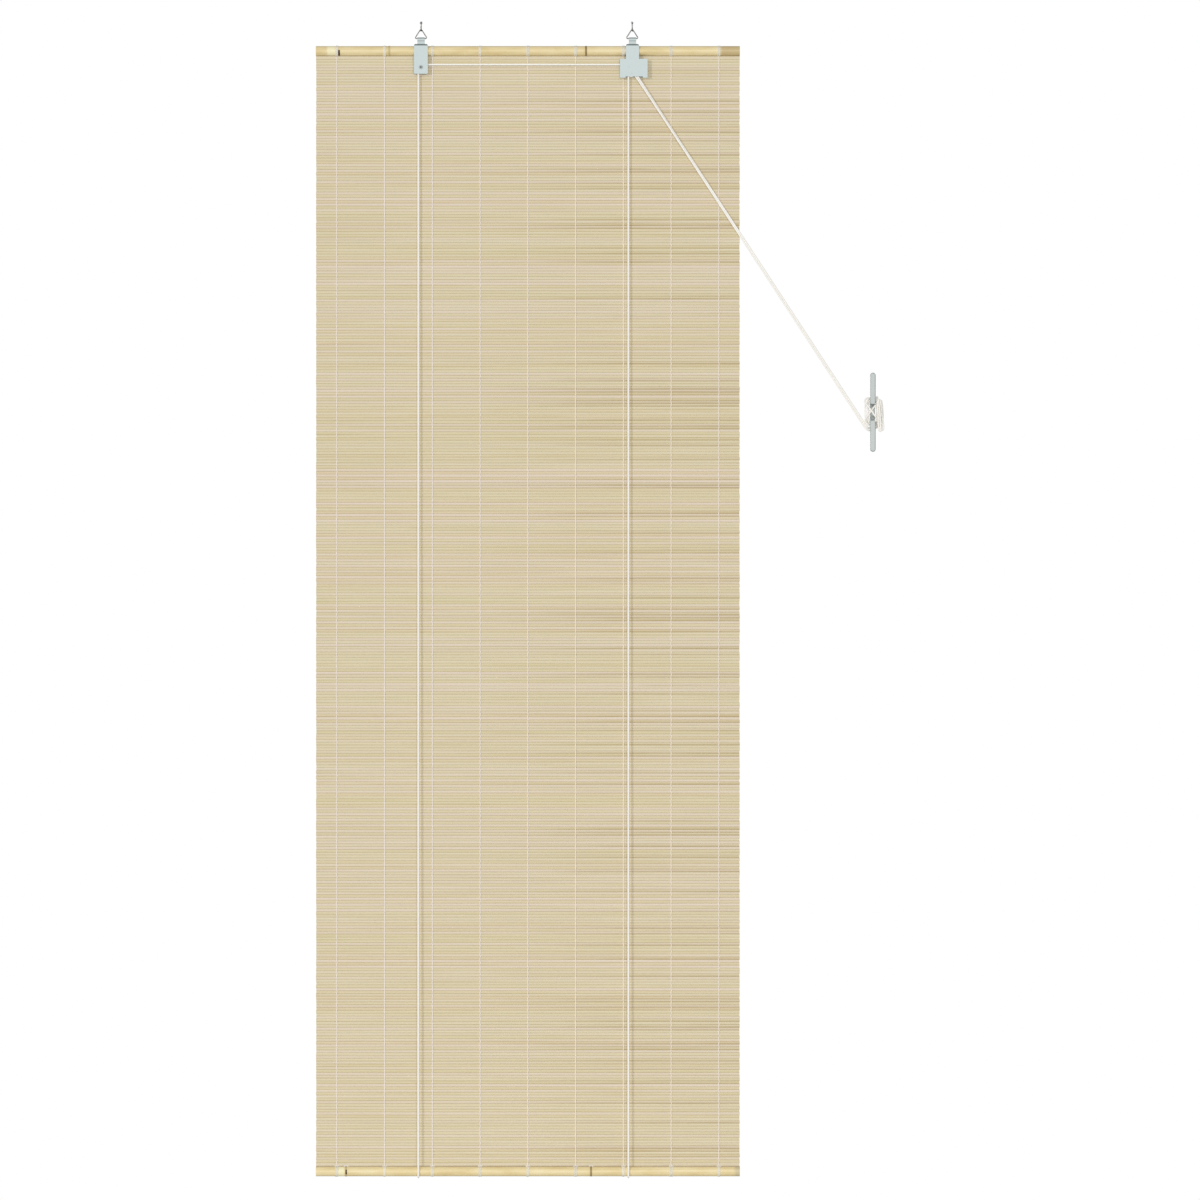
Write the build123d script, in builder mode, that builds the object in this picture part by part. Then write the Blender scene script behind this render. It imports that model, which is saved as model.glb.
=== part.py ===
from build123d import *
from math import asin, atan2, cos, degrees, hypot, pi, radians, sin
import os

# A bamboo roll-up blind that hangs from two wall hooks, with its pulleys, cords and wall cleat.
# Millimetres. +X is to the right, -Y is towards the room and +Z is up.
# The origin lies on the wall, midway between the two hook screws.

# The blind as a whole
blind_width = 600.0
blind_height = 1600.0  # from the top of the top rod to the underside of the bottom rod
blind_to_right = 1.8  # the blind's middle, from the middle of the hooks
rod_radius = 7.0
rod_off_wall = 12.0  # the rods' axes, from the wall
rod_below_bar = 17.65  # the top rod's axis, below the bars of the rings
cut_over = 1.0  # how far a cutter starts outside the face that it cuts

# Hooks and rings
hook_spacing = 299.0
hook_wire = 1.9
hook_depth = 12.6  # from the screw's axis down to the middle of the wire at the bottom
hook_curl = 3.4  # the bottom bend, to the middle of the wire
hook_shoulder = 3.0  # the bend from the shank into the drop
hook_tip_rise = 2.2  # the straight end past the bottom bend
hook_screw_length = 15.0
hook_point = 3.0  # the length of the screw's point
hook_collar_radius = 2.1
hook_collar_thickness = 0.9
ring_wire = 1.5
ring_reach = 8.95  # from the ring's middle to the sharp corners of its triangle
ring_height = 14.0  # of the same sharp triangle
ring_apex_bend = 1.7
ring_corner_bend = 1.5
ring_butt_gap = 0.2  # between the two ends of the wire, inside the bracket's eye
ring_play = 0.05  # between the ring and the hook that carries it

# Rods
node_height = 0.4
node_length = 3.2
top_nodes = (-194.5, 84.1)
bottom_nodes = (-255.7, 91.2)
pith_radius = 1.8
pith_depth = 25.0

# Slats, warp threads and bindings
slat_pitch = 4.0
slat_crest = 0.9  # half of the mat's thickness at the middle of a slat
slat_edge = 0.5  # half of its thickness between two slats
gap_rows = 9
gap_height = 0.5
gap_from_warp = 5.0
warp_count = 9
warp_pitch = 67.6
thread_width = 1.0
thread_thickness = 0.35
thread_seat = 0.02
binding_width = 5.0
binding_thickness = 0.7
binding_seat = 0.02
mat_seat = 0.05
mat_lower_gap = 0.3

# Cords
cord_diameter = 2.5
cord_gap = 0.05  # between the two pull cords
bight_play = 0.3  # between a cord's turn and the bottom rod
back_cord_off = 4.4  # the top of a back run, from the rod's axis
sling_gap = 0.3  # between a run and the turn of cord under the rod
knot_radius = 2.5
knot_seat = 1.45  # the radius of the knot's flat underside
leave_below = 1.0  # where the pull cords begin, below the right bracket

# Brackets
sheet = 0.8
rod_play = 0.05  # between a bracket and the top rod
eye_play = 0.1
strip_bend = 0.6  # the inside of the bends beside the rod
left_width = 19.6
stem_width = 18.5  # of the right bracket, above its wide part
stem_to_right = 0.4
neck_width = 10.4
shoulder_below_bar = 8.2  # the top of a bracket's body
shoulder_round = 2.5
left_bottom = 50.3  # a bracket's lower edge, below the bar
right_bottom = 55.95
tab_below_bar = 33.6
tab_reach = 5.4
cord_hole = 1.5
cheek_below_rod = 4.0
cheek_inset = 2.0  # the cheek's free edge, from the bracket's right edge
cheek_lap = 4.0  # how far its root lies along the front leaf
back_plate_off = 1.65  # the rear plates' back faces, from the rod's axis towards the room
wide_left = 132.1
wide_right = 171.3
wide_below_bar = 29.2
wide_round = 1.0
notch_left = 140.1
notch_right = 164.6
notch_height = 2.0
notch_round = 1.2
side_hole = 2.2
plate_play = 0.1

# Pulleys, pins and screws
pitch_radius = 3.7
pulley_rim = 4.6
pulley_side_play = 0.25
groove_play = 0.1
pin_radius = 1.5
pin_play = 0.05
pin_head = 0.4
pin_head_radius = 2.2
rivet_head_radius = 2.9
rivet_head = 0.5
rivet_round = 0.4
rivet_bore = 1.0
wheel_below_bar = 40.9  # the left pulley and the header pulley
lift_wheel_x = 147.7
lift_wheel_below_bar = 50.4
header_wheel_x = 144.5
screw_radius = 1.15
screw_head_radius = 2.4
screw_head = 1.2
screw_head_round = 0.6
screw_depth = 8.0
hole_play = 0.05

# Wall cleat
cleat_x = 490.0
cleat_z = -552.6
cleat_length = 112.0
cleat_width = 7.8
cleat_base = 3.0
base_half = 14.0
stem_inside = 11.0
stem_outside = 16.0
horn_under = 15.0  # from the wall to the underside of a horn at its root
horn_thickness = 4.8
horn_rise = 2.2
horn_taper = 0.9
horn_root = 12.0  # from the middle to where a horn's front begins
cleat_edge = 1.5
cleat_screw_spacing = 15.0
cleat_screw_radius = 1.5  # of the part in the wall
cleat_screw_shank = 1.75  # the radius of its plain shank, in the cleat
cleat_screw_head_radius = 2.9
cleat_screw_head = 1.4
cleat_screw_round = 0.7
cleat_screw_length = 17.0  # in the wall, without the point
cleat_screw_point = 3.0

# Winding and tail
winding_left = 12.6  # from the cleat's middle
winding_right = 9.8
winding_up = 21.5
winding_down = 23.5
winding_back = 3.6  # from the wall
winding_front = 14.4
winding_play = 0.5
crossing_half = 9.5
crossing_up = 6.0
crossing_behind = 1.0  # the crossing cords, from the winding's front
entry_left = 11.2
entry_down = 21.0
entry_off = 12.6  # from the wall to the pull cords at the cleat
second_short = 9.0  # the upper pull cord reaches the winding this much sooner
tail_width = 8.0
tail_depth = 4.6
tail_gap = 0.05
tail_round = 1.8
tail_top = (8.6, 15.0)
tail_bottom = (11.4, -23.0)

# Places that follow from the sizes above
rod_y = -rod_off_wall
cord_radius = cord_diameter / 2
bar_z = -(hook_depth - hook_wire / 2 - ring_wire / 2 - ring_play)
bar_z -= ring_height - ring_apex_bend * (hypot(ring_reach, ring_height) / ring_reach - 1)
top_rod_z = bar_z - rod_below_bar
bottom_rod_z = top_rod_z - (blind_height - 2 * rod_radius)
blind_left = blind_to_right - blind_width / 2
binding_outer = rod_radius + binding_seat + binding_thickness
mat_top = top_rod_z - binding_outer - mat_seat
mat_bottom = bottom_rod_z + binding_outer + mat_lower_gap
warp_x = [blind_to_right + (i - (warp_count - 1) / 2) * warp_pitch for i in range(warp_count)]
front_inside = rod_radius + rod_play
pulley_width = front_inside - back_plate_off - sheet - 2 * pulley_side_play
cord_off = front_inside - pulley_side_play - pulley_width / 2
cord_y = rod_y - cord_off
left_x = -hook_spacing / 2
right_x = hook_spacing / 2
wheel_z = bar_z - wheel_below_bar
lift_wheel_z = bar_z - lift_wheel_below_bar
left_cord_x = left_x - pitch_radius
right_cord_x = lift_wheel_x - pitch_radius
bight_radius = rod_radius + cord_radius + bight_play


def keep(piece, name):
    """Labels a finished piece and writes it."""
    piece.part.label = name
    export_step(piece.part, f"parts/{name}.step")


def facing_room(x, y, z):
    """A plane at this point that faces the room, with its own x and y along X and Z."""
    return Plane(origin=(x, y, z), x_dir=(1, 0, 0), z_dir=(0, -1, 0))


def facing_right(x, y, z):
    """A plane at this point that faces +X, with its own x towards the room and its own y along Z."""
    return Plane(origin=(x, y, z), x_dir=(0, -1, 0), z_dir=(-1, 0, 0))


# Hooks: bent wire with a collar that stops at the wall and a screw beyond it
def hook(x):
    side = facing_right(x, 0, 0)
    drop_at = rod_off_wall - hook_curl
    with BuildPart() as piece:
        with BuildLine(side) as wire:
            shank = Line((-hook_screw_length + hook_point, 0), (drop_at - hook_shoulder, 0))
            shoulder = JernArc(shank @ 1, (1, 0), hook_shoulder, -90)
            drop = Line(shoulder @ 1, (drop_at, -hook_depth + hook_curl))
            curl = JernArc(drop @ 1, (0, -1), hook_curl, 180)
            Line(curl @ 1, (drop_at + 2 * hook_curl, -hook_depth + hook_curl + hook_tip_rise))
        with BuildSketch(Plane(origin=wire.wires()[0] @ 0, z_dir=wire.wires()[0] % 0)):
            Circle(hook_wire / 2)
        sweep(path=wire.wires()[0])
        with BuildSketch(facing_room(x, 0, 0)):
            Circle(hook_collar_radius)
        extrude(amount=hook_collar_thickness)
        with BuildSketch(side) as point:
            with BuildLine():
                Polyline(
                    (-hook_screw_length + hook_point, 0),
                    (-hook_screw_length + hook_point, hook_wire / 2),
                    (-hook_screw_length, 0),
                    close=True,
                )
            make_face()
        revolve(axis=Axis((x, 0, 0), (0, 1, 0)))
    return piece


# Rings: a triangle of wire whose ends meet in the middle of the bar, inside the bracket's eye
def ring(x):
    top = bar_z + ring_height
    with BuildPart() as piece:
        with BuildLine(facing_room(x, rod_y, 0)) as wire:
            FilletPolyline(
                (ring_butt_gap / 2, bar_z),
                (ring_reach, bar_z),
                (0, top),
                (-ring_reach, bar_z),
                (-ring_butt_gap / 2, bar_z),
                radius=[ring_corner_bend, ring_apex_bend, ring_corner_bend],
            )
        with BuildSketch(Plane(origin=wire.wires()[0] @ 0, z_dir=wire.wires()[0] % 0)):
            Circle(ring_wire / 2)
        sweep(path=wire.wires()[0])
    return piece


for name, x in (("left", left_x), ("right", right_x)):
    keep(hook(x), f"{name}_hook")
    keep(ring(x), f"{name}_ring")


# Rods: bamboo culms with a ridge at each node and the pith hole open at both ends
def culm(z, nodes):
    blind_right = blind_left + blind_width
    with BuildPart() as piece:
        with BuildSketch(facing_room(0, rod_y, z)):
            with BuildLine():
                here = (blind_left, rod_radius)
                Line((blind_left, 0), here)
                for node in nodes:
                    start = (node - node_length / 2, rod_radius)
                    Line(here, start)
                    here = (node + node_length / 2, rod_radius)
                    ThreePointArc(start, (node, rod_radius + node_height), here)
                Polyline(here, (blind_right, rod_radius), (blind_right, 0), (blind_left, 0))
            make_face()
        revolve(axis=Axis((blind_left, rod_y, z), (1, 0, 0)))
        for end in (blind_left, blind_right - pith_depth):
            with BuildSketch(Plane.YZ.offset(end)):
                with Locations((rod_y, z)):
                    Circle(pith_radius)
            extrude(amount=pith_depth, mode=Mode.SUBTRACT)
    return piece


with BuildPart() as top_rod:
    add(culm(top_rod_z, top_nodes).part)
    for x in (left_x, right_x):
        with BuildSketch(facing_room(x, rod_y + rod_radius + cut_over, top_rod_z)):
            Circle(screw_radius + hole_play)
        extrude(amount=screw_depth + cut_over, mode=Mode.SUBTRACT)
keep(top_rod, "top_rod")
keep(culm(bottom_rod_z, bottom_nodes), "bottom_rod")


# Bindings: the warp threads wound round each rod, as one band for each warp
def bindings(z):
    with BuildPart() as piece:
        for x in warp_x:
            with BuildSketch(Plane.YZ.offset(x - binding_width / 2)):
                with Locations((rod_y, z)):
                    Circle(binding_outer)
                    Circle(rod_radius + binding_seat, mode=Mode.SUBTRACT)
            extrude(amount=binding_width)
    return piece


keep(bindings(top_rod_z), "top_rod_bindings")
keep(bindings(bottom_rod_z), "bottom_rod_bindings")

# The mat: slats side by side as ridges across one wall, with a row of open gaps every so many slats
slat_count = round((mat_top - mat_bottom) / slat_pitch)
ridge = (mat_top - mat_bottom) / slat_count
with BuildPart() as slat_mat:
    with BuildSketch(facing_right(blind_left, rod_y, 0)):
        with BuildLine():
            front = []
            for i in range(slat_count):
                slat_top = mat_top - i * ridge
                front += [(slat_edge, slat_top), (slat_crest, slat_top - ridge / 2)]
            front.append((slat_edge, mat_bottom))
            Polyline(*front, *[(-out, z) for out, z in reversed(front)], close=True)
        make_face()
    extrude(amount=-blind_width)
    gap_step = slat_count // gap_rows
    gap_z = [mat_top - (i + 0.5) * gap_step * ridge for i in range(gap_rows)]
    gap_z = [mat_top - round((mat_top - z) / ridge) * ridge for z in gap_z]
    bay_x = [(a + b) / 2 for a, b in zip(warp_x, warp_x[1:])]
    with BuildSketch(facing_room(0, rod_y, 0)):
        with Locations(*[(x, z) for z in gap_z for x in bay_x]):
            Rectangle(warp_pitch - 2 * gap_from_warp, gap_height)
    extrude(amount=slat_crest + cut_over, both=True, mode=Mode.SUBTRACT)
keep(slat_mat, "slat_mat")


# Warp threads: one straight thread for each warp, on the crests of the slats
def warp_threads(side):
    start = rod_y + side * (slat_crest + thread_seat)
    with BuildPart() as piece:
        with BuildSketch(facing_room(0, start, (mat_top + mat_bottom) / 2)):
            with Locations(*[(x, 0) for x in warp_x]):
                Rectangle(thread_width, mat_top - mat_bottom)
        extrude(amount=-side * thread_thickness)
    return piece


keep(warp_threads(-1), "front_warp_threads")
keep(warp_threads(1), "back_warp_threads")


# Brackets: one strip folded over the ring's bar, with a leaf in front of the rod and one behind it
def folded_strip(x, width, bottom):
    """The strip, its body this wide and its front leaf down to this far below the bar."""
    eye = ring_wire / 2 + eye_play
    neck = eye + sheet
    leaf = rod_radius + rod_play
    shoulder = -shoulder_below_bar - sheet
    side = facing_right(x, rod_y, bar_z)
    with BuildPart() as piece:
        with BuildSketch(side):
            with BuildLine():
                FilletPolyline(
                    (leaf, -bottom),
                    (leaf, shoulder),
                    (eye, shoulder),
                    (eye, 0),
                    radius=[strip_bend, strip_bend + sheet],
                )
                JernArc((eye, 0), (0, 1), eye, 180)
                behind = FilletPolyline(
                    (-eye, 0),
                    (-eye, shoulder),
                    (-leaf, shoulder),
                    (-leaf, -tab_below_bar + sheet),
                    (-leaf + tab_reach, -tab_below_bar + sheet),
                    radius=[strip_bend + sheet, strip_bend, strip_bend],
                )
                outer_tab = Line(behind @ 1, (-leaf + tab_reach, -tab_below_bar))
                outer_back = FilletPolyline(
                    outer_tab @ 1,
                    (-leaf - sheet, -tab_below_bar),
                    (-leaf - sheet, shoulder + sheet),
                    (-neck, shoulder + sheet),
                    (-neck, 0),
                    radius=[strip_bend + sheet, strip_bend + sheet, strip_bend],
                )
                outer_fold = JernArc(outer_back @ 1, (0, 1), neck, -180)
                outer_front = FilletPolyline(
                    outer_fold @ 1,
                    (neck, shoulder + sheet),
                    (leaf + sheet, shoulder + sheet),
                    (leaf + sheet, -bottom),
                    radius=[strip_bend, strip_bend + sheet],
                )
                Line(outer_front @ 1, (leaf, -bottom))
            make_face()
        extrude(amount=width / 2, both=True)
        with BuildSketch(facing_room(x, 0, bar_z)) as outline:
            body_top = -shoulder_below_bar
            with Locations((0, (body_top - bottom - cut_over) / 2)):
                Rectangle(width, body_top + bottom + cut_over)
            fillet(outline.vertices().group_by(Axis.Z)[-1], shoulder_round)
            with Locations((0, (body_top + neck) / 2)):
                Rectangle(neck_width, neck - body_top + 2 * cut_over)
        extrude(amount=2 * rod_off_wall, mode=Mode.INTERSECT)
    return piece


def hole_through(plane, radius, length):
    """A round cutter that starts at the plane and runs along its normal."""
    with BuildPart() as cutter:
        with BuildSketch(plane):
            Circle(radius)
        extrude(amount=length)
    return cutter.part


def strap_holes(screw_x, cord_x):
    """The holes in a back leaf: one for the screw, and one in the tab for the end of the cord."""
    back = rod_y + rod_radius + rod_play + sheet
    depth = sheet + 2 * cut_over
    screw = facing_room(screw_x, back + cut_over, top_rod_z)
    under_tab = (cord_x, rod_y + back_cord_off, bar_z - tab_below_bar - cut_over)
    return [
        hole_through(screw, screw_radius + hole_play, depth),
        hole_through(Plane(origin=under_tab, z_dir=(0, 0, 1)), cord_hole, depth),
    ]


# The left bracket's front leaf is folded back round its left edge, and again behind the pulley
cheek_top = top_rod_z - rod_radius - cheek_below_rod
cheek_bottom = bar_z - left_bottom
front_face = rod_y - front_inside
cheek_right = left_x + left_width / 2 - cheek_inset
with BuildPart() as left_bracket:
    add(folded_strip(left_x, left_width, left_bottom).part)
    with BuildSketch(Plane.XY.offset(cheek_bottom)):
        with BuildLine():
            edge = left_x - left_width / 2
            rear = rod_y - back_plate_off
            outside = FilletPolyline(
                (edge + cheek_lap, front_face - sheet),
                (edge, front_face - sheet),
                (edge, rear),
                (cheek_right, rear),
                radius=sheet + strip_bend,
            )
            turn = Line(outside @ 1, (cheek_right, rear - sheet))
            inner = FilletPolyline(
                turn @ 1,
                (edge + sheet, rear - sheet),
                (edge + sheet, front_face),
                (edge + cheek_lap, front_face),
                radius=strip_bend,
            )
            Line(inner @ 1, outside @ 0)
        make_face()
    extrude(amount=cheek_top - cheek_bottom)
    add(strap_holes(left_x, left_cord_x), mode=Mode.SUBTRACT)
    rivet_way = facing_room(left_x, rod_y, wheel_z)
    add(hole_through(rivet_way, pin_radius + pin_play, rod_off_wall), mode=Mode.SUBTRACT)
keep(left_bracket, "left_bracket")

# The right bracket widens below the rod into a shallow box, notched where the cords leave it
wide_top = bar_z - wide_below_bar
wide_bottom = bar_z - right_bottom
wide_middle = (wide_left + wide_right) / 2
wide_rear = rod_y - back_plate_off
with BuildPart() as right_bracket:
    add(folded_strip(right_x + stem_to_right, stem_width, right_bottom).part)
    with BuildSketch(facing_room(wide_middle, front_face, (wide_top + wide_bottom) / 2)) as wide:
        Rectangle(wide_right - wide_left, wide_top - wide_bottom)
        fillet(wide.vertices(), wide_round)
    extrude(amount=sheet)
    for edge, inwards in ((wide_left, 1), (wide_right, -1)):
        with BuildSketch(Plane.XY.offset(wide_bottom + wide_round)):
            with Locations((edge + inwards * sheet / 2, (wide_rear + front_face - sheet / 2) / 2)):
                Rectangle(sheet, wide_rear - front_face + sheet / 2)
        extrude(amount=wide_top - wide_bottom - 2 * wide_round)
    notch_middle = (notch_left + notch_right) / 2
    with BuildSketch(facing_room(notch_middle, front_face + cut_over, wide_bottom)) as notch:
        Rectangle(notch_right - notch_left, 2 * notch_height)
        fillet(notch.vertices(), notch_round)
    extrude(amount=sheet + 2 * cut_over, mode=Mode.SUBTRACT)
    entry = Plane(origin=(wide_left - cut_over, cord_y, wheel_z + pitch_radius), z_dir=(1, 0, 0))
    add(hole_through(entry, side_hole, sheet + 2 * cut_over), mode=Mode.SUBTRACT)
    add(strap_holes(right_x, right_cord_x), mode=Mode.SUBTRACT)
    for x, z in ((header_wheel_x, wheel_z), (lift_wheel_x, lift_wheel_z)):
        pin_way = facing_room(x, rod_y, z)
        add(hole_through(pin_way, pin_radius + pin_play, rod_off_wall), mode=Mode.SUBTRACT)
keep(right_bracket, "right_bracket")

# The plate that closes the box behind the two pulleys
with BuildPart() as rear_plate:
    with BuildSketch(facing_room(wide_middle, wide_rear, (wide_top + wide_bottom) / 2)) as outline:
        plate_width = wide_right - wide_left - 2 * (sheet + plate_play)
        Rectangle(plate_width, wide_top - wide_bottom - 2 * wide_round)
        fillet(outline.vertices(), wide_round)
    extrude(amount=sheet)
    for x, z in ((header_wheel_x, wheel_z), (lift_wheel_x, lift_wheel_z)):
        pin_way = facing_room(x, rod_y, z)
        add(hole_through(pin_way, pin_radius + pin_play, front_inside), mode=Mode.SUBTRACT)
keep(rear_plate, "right_bracket_rear_plate")


# Pulleys: grooved wheels that turn on their pins
def pulley(x, z):
    groove = cord_radius + groove_play
    half = pulley_width / 2
    bore = pin_radius + pin_play
    with BuildPart() as piece:
        with BuildSketch(Plane(origin=(x, cord_y, z), x_dir=(1, 0, 0), z_dir=(0, 0, 1))):
            with BuildLine():
                Polyline(
                    (pitch_radius, groove),
                    (pulley_rim, groove),
                    (pulley_rim, half),
                    (bore, half),
                    (bore, -half),
                    (pulley_rim, -half),
                    (pulley_rim, -groove),
                    (pitch_radius, -groove),
                )
                ThreePointArc((pitch_radius, -groove), (pitch_radius - groove, 0), (pitch_radius, groove))
            make_face()
        revolve(axis=Axis((x, cord_y, z), (0, 1, 0)))
    return piece


keep(pulley(left_x, wheel_z), "left_pulley")
keep(pulley(header_wheel_x, wheel_z), "header_pulley")
keep(pulley(lift_wheel_x, lift_wheel_z), "lift_pulley")

# The left pulley's hollow rivet, with its rolled head at the front and its flared end behind
with BuildPart() as rivet:
    rear_end = rod_y - back_plate_off + pin_head
    front_end = front_face - sheet - rivet_head
    with BuildSketch(facing_right(left_x, 0, wheel_z)) as profile:
        with BuildLine():
            Polyline(
                (-rear_end, rivet_bore),
                (-front_end, rivet_bore),
                (-front_end, rivet_head_radius),
                (-front_end - rivet_head, rivet_head_radius),
                (-front_end - rivet_head, pin_radius),
                (-rear_end + pin_head, pin_radius),
                (-rear_end + pin_head, pin_head_radius),
                (-rear_end, pin_head_radius),
                close=True,
            )
        make_face()
        front_corners = profile.vertices().group_by(Axis.Y)[0]
        fillet(front_corners, rivet_round)
    revolve(axis=Axis((left_x, 0, wheel_z), (0, 1, 0)))
keep(rivet, "left_pulley_rivet")

# The two pins of the right bracket, flush in front and headed behind
with BuildPart() as pins:
    for x, z in ((header_wheel_x, wheel_z), (lift_wheel_x, lift_wheel_z)):
        with BuildSketch(facing_room(x, rod_y - back_plate_off + pin_head, z)):
            Circle(pin_head_radius)
        extrude(amount=pin_head)
        with BuildSketch(facing_room(x, rod_y - back_plate_off, z)):
            Circle(pin_radius)
        extrude(amount=front_inside + sheet - back_plate_off)
keep(pins, "right_bracket_pins")

# The two screws that hold the back leaves to the rod
with BuildPart() as bracket_screws:
    seat = rod_y + rod_radius + rod_play + sheet
    for x in (left_x, right_x):
        with BuildSketch(facing_room(x, seat + screw_head, top_rod_z)):
            Circle(screw_head_radius)
        extrude(amount=screw_head)
        with BuildSketch(facing_room(x, seat, top_rod_z)):
            Circle(screw_radius)
        extrude(amount=screw_depth)
    head_rims = bracket_screws.edges().filter_by(GeomType.CIRCLE).group_by(Axis.Y)[-1]
    fillet(head_rims, screw_head_round)
keep(bracket_screws, "bracket_screws")


# Cords that go round the pulleys and leave along a tangent to the cleat
def tangent_from(wheel_x, z, target_x, target_z):
    """How far from straight down, in radians, a cord leaves a pulley's upper right for the target."""
    towards = atan2(target_x - wheel_x, z - target_z)
    return towards - asin(pitch_radius / hypot(target_x - wheel_x, target_z - z))


entry_x = cleat_x - entry_left
entry_z = cleat_z - entry_down
lift_angle = tangent_from(lift_wheel_x, lift_wheel_z, entry_x, entry_z)
pair_step = cord_diameter + cord_gap
second_x = entry_x + pair_step * cos(lift_angle) - second_short * sin(lift_angle)
second_z = entry_z + pair_step * sin(lift_angle) + second_short * cos(lift_angle)
header_angle = tangent_from(header_wheel_x, wheel_z, second_x, second_z)
leave_z = wide_bottom - leave_below


def leaving(wheel_x, z, angle):
    """The point where a cord that left its pulley at this angle passes below the bracket."""
    off_x = wheel_x + pitch_radius * cos(angle)
    off_z = z + pitch_radius * sin(angle)
    return (off_x + (off_z - leave_z) * sin(angle) / cos(angle), leave_z)


def round_cord(route):
    """Puts the cord's section along a route that a BuildLine holds."""
    path = route.wires()[0]
    with BuildPart() as piece:
        with BuildSketch(Plane(origin=path @ 0, z_dir=path % 0)):
            Circle(cord_radius)
        sweep(path=path)
    share = piece.part.volume / (pi * cord_radius**2 * path.length)
    print("cord", round(path.length, 1), "mm long, volume over section times length", round(share, 4))
    return piece


def straight_cord(start, end):
    with BuildLine() as route:
        Line(start, end)
    return round_cord(route)


with BuildLine(facing_room(0, cord_y, 0)) as over_header:
    up = JernArc((left_cord_x, wheel_z), (0, 1), pitch_radius, -90)
    across = Line(up @ 1, (header_wheel_x, wheel_z + pitch_radius))
    over = JernArc(across @ 1, (1, 0), pitch_radius, -90 + degrees(header_angle))
    Line(over @ 1, leaving(header_wheel_x, wheel_z, header_angle))
keep(round_cord(over_header), "header_cord")

with BuildLine(facing_room(0, cord_y, 0)) as over_lift:
    over = JernArc((right_cord_x, lift_wheel_z), (0, 1), pitch_radius, -180 + degrees(lift_angle))
    Line(over @ 1, leaving(lift_wheel_x, lift_wheel_z, lift_angle))
keep(round_cord(over_lift), "lift_pulley_cord")
print("cord radius round the pulleys", pitch_radius, "and under the rod", bight_radius)

for name, wheel_x, z, angle, end_x, end_z in (
    ("header_pull_cord", header_wheel_x, wheel_z, header_angle, second_x, second_z),
    ("lift_pull_cord", lift_wheel_x, lift_wheel_z, lift_angle, entry_x, entry_z),
):
    x, start_z = leaving(wheel_x, z, angle)
    keep(straight_cord((x, cord_y, start_z), (end_x, -entry_off, end_z)), name)


# The lift cords: down the front, under the bottom rod, and up the back to a knot over the tab
knot_z = bar_z - tab_below_bar + sheet + hole_play
knot_middle = (knot_radius**2 - knot_seat**2) ** 0.5
sling_top = bottom_rod_z + sling_gap
for name, x, top_z in (("left", left_cord_x, wheel_z), ("right", right_cord_x, lift_wheel_z)):
    front = straight_cord((x, cord_y, top_z), (x, rod_y - bight_radius, sling_top))
    keep(front, f"{name}_front_cord")
    back = straight_cord((x, rod_y + bight_radius, sling_top), (x, rod_y + back_cord_off, knot_z))
    keep(back, f"{name}_back_cord")
    with BuildLine(facing_right(x, rod_y, bottom_rod_z)) as under:
        JernArc((bight_radius, 0), (0, -1), bight_radius, -180)
    keep(round_cord(under), f"{name}_cord_bight")
    with BuildPart() as knot:
        with BuildSketch(facing_right(x, rod_y + back_cord_off, knot_z + knot_middle)):
            with BuildLine():
                Line((0, knot_radius), (0, -knot_middle))
                Line((0, -knot_middle), (knot_seat, -knot_middle))
                ThreePointArc((knot_seat, -knot_middle), (knot_radius, 0), (0, knot_radius))
            make_face()
        revolve(axis=Axis((x, rod_y + back_cord_off, 0), (0, 0, 1)))
    keep(knot, f"{name}_anchor_knot")

# The cleat: a cast strip with its base on the wall and a horn above and below
half_length = cleat_length / 2
horn_top = horn_under + horn_thickness
with BuildPart() as cleat:
    with BuildSketch(facing_right(cleat_x, 0, cleat_z)) as side:
        with BuildLine():
            Polyline(
                (0, 0),
                (0, base_half),
                (horn_under, stem_outside),
                (horn_under + horn_rise, half_length),
                (horn_top + horn_rise - horn_taper, half_length),
                (horn_top, horn_root),
                (cleat_base, stem_inside),
                (cleat_base, 0),
                close=True,
            )
        make_face()
        mirror(about=Plane(origin=(cleat_x, 0, cleat_z), z_dir=(0, 0, 1)))
    extrude(amount=cleat_width / 2, both=True)
    with BuildSketch(facing_room(cleat_x, 0, cleat_z)):
        SlotOverall(cleat_length, cleat_width, rotation=90)
    extrude(amount=horn_top + horn_rise, mode=Mode.INTERSECT)
    long_edges = cleat.edges() - cleat.edges().filter_by(Axis.X)
    fillet(long_edges.filter_by(lambda edge: edge.center().Y < -cleat_base - cleat_edge), cleat_edge)
    for z in (-cleat_screw_spacing / 2, cleat_screw_spacing / 2):
        screw_way = facing_room(cleat_x, cut_over, cleat_z + z)
        depth = cleat_base + 2 * cut_over
        add(hole_through(screw_way, cleat_screw_shank + hole_play, depth), mode=Mode.SUBTRACT)
keep(cleat, "cleat")

# The cleat's two screws: a round head, a plain shank in the cleat, and a pointed part in the wall
with BuildPart() as cleat_screws:
    for z in (-cleat_screw_spacing / 2, cleat_screw_spacing / 2):
        with BuildSketch(facing_right(cleat_x, 0, cleat_z + z)):
            with BuildLine():
                Polyline(
                    (cleat_base + cleat_screw_head, 0),
                    (cleat_base + cleat_screw_head, cleat_screw_head_radius),
                    (cleat_base, cleat_screw_head_radius),
                    (cleat_base, cleat_screw_shank),
                    (0, cleat_screw_shank),
                    (0, cleat_screw_radius),
                    (-cleat_screw_length, cleat_screw_radius),
                    (-cleat_screw_length - cleat_screw_point, 0),
                    close=True,
                )
            make_face()
        revolve(axis=Axis((cleat_x, 0, cleat_z + z), (0, 1, 0)))
    head_rims = cleat_screws.edges().filter_by(GeomType.CIRCLE).group_by(Axis.Y)[0]
    fillet(head_rims, cleat_screw_round)
keep(cleat_screws, "cleat_screws")

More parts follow.
